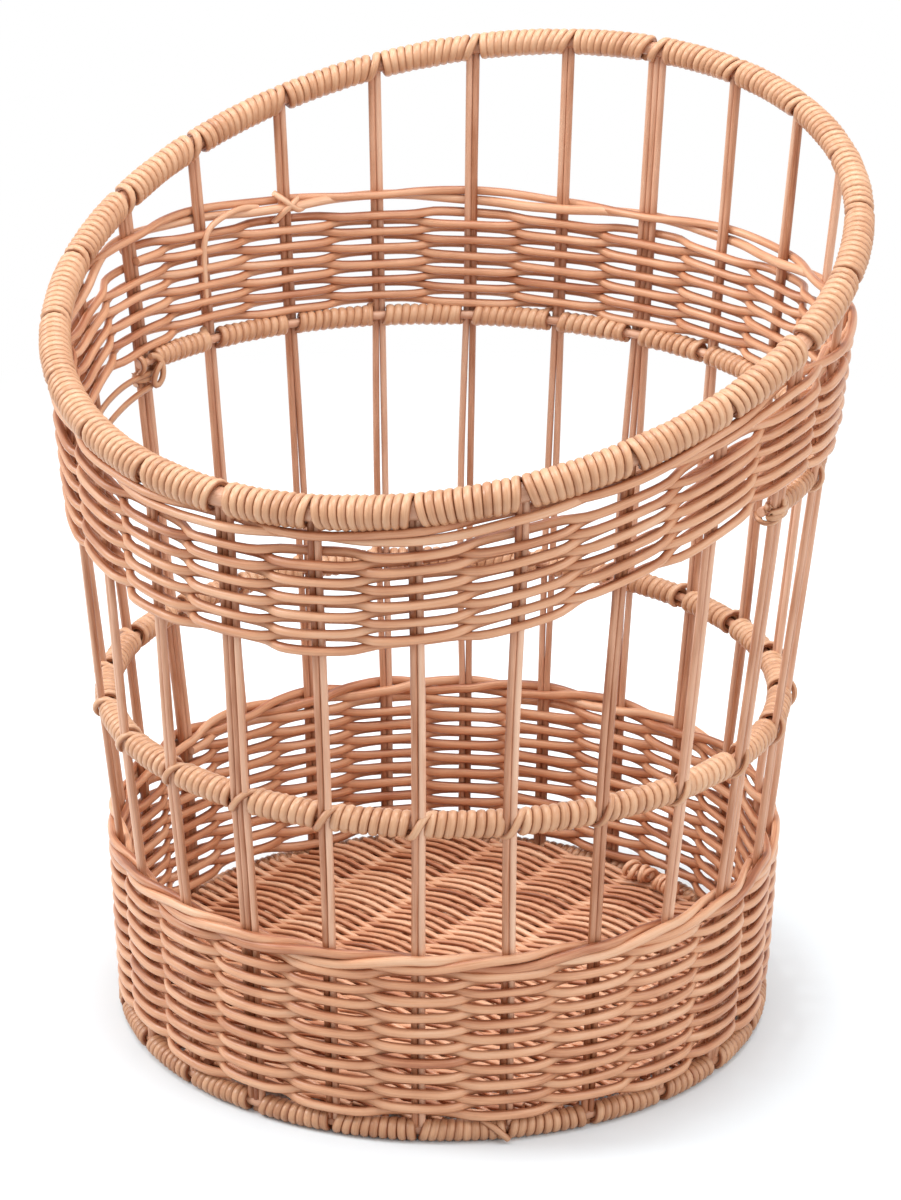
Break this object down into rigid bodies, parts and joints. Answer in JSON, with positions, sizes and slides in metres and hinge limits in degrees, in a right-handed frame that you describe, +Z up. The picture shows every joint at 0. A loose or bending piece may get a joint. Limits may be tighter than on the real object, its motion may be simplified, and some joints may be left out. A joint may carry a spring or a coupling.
{
  "type": "baguette basket",
  "caption": "Tall round open basket of cane: bare stakes between two woven bands, lashed hoops, a woven floor and a slanted bound rim, for standing long loaves upright.",
  "frame": {"origin": "on the surface that the basket stands on, straight below the centre of the slanted rim", "axes": "+Z up, +Y towards the high side of the rim, +X to the right seen from the low side"},
  "size_m": [0.3688, 0.3502, 0.4177],
  "materials": {
    "cane_rods": "satin",
    "cane_weave": "satin",
    "cane_binding": "satin"
  },
  "bodies": {
    "root": {"foot_hoop": "cane_rods", "foot_wrap": "cane_binding", "floor_mat": "cane_weave", "floor_stick_1": "cane_rods", "floor_stick_2": "cane_rods", "floor_stick_3": "cane_rods", "floor_stick_4": "cane_rods", "floor_stick_5": "cane_rods", "floor_stick_6": "cane_rods", "floor_stick_7": "cane_rods", "heavy_stake_right": "cane_rods", "stake_01": "cane_rods", "stake_02": "cane_rods", "stake_03": "cane_rods", "stake_04": "cane_rods", "stake_05": "cane_rods", "heavy_stake_back": "cane_rods", "stake_07": "cane_rods", "stake_08": "cane_rods", "stake_09": "cane_rods", "stake_10": "cane_rods", "stake_11": "cane_rods", "heavy_stake_left": "cane_rods", "stake_13": "cane_rods", "stake_14": "cane_rods", "stake_15": "cane_rods", "stake_16": "cane_rods", "stake_17": "cane_rods", "heavy_stake_front": "cane_rods", "stake_19": "cane_rods", "stake_20": "cane_rods", "stake_21": "cane_rods", "stake_22": "cane_rods", "stake_23": "cane_rods", "lower_weaver_a": "cane_weave", "lower_weaver_b": "cane_weave", "lower_wale_a": "cane_weave", "lower_wale_b": "cane_weave", "lower_wale_c": "cane_weave", "lower_hoop": "cane_rods", "lower_hoop_wrap_left": "cane_binding", "lower_hoop_wrap_right": "cane_binding", "half_hoop": "cane_rods", "half_hoop_wrap": "cane_binding", "upper_weaver_a": "cane_weave", "upper_weaver_b": "cane_weave", "upper_border_a": "cane_weave", "upper_border_b": "cane_weave", "rim_hoop": "cane_rods", "rim_wrap_left": "cane_binding", "rim_wrap_right": "cane_binding"}
  },
  "joints": []
}
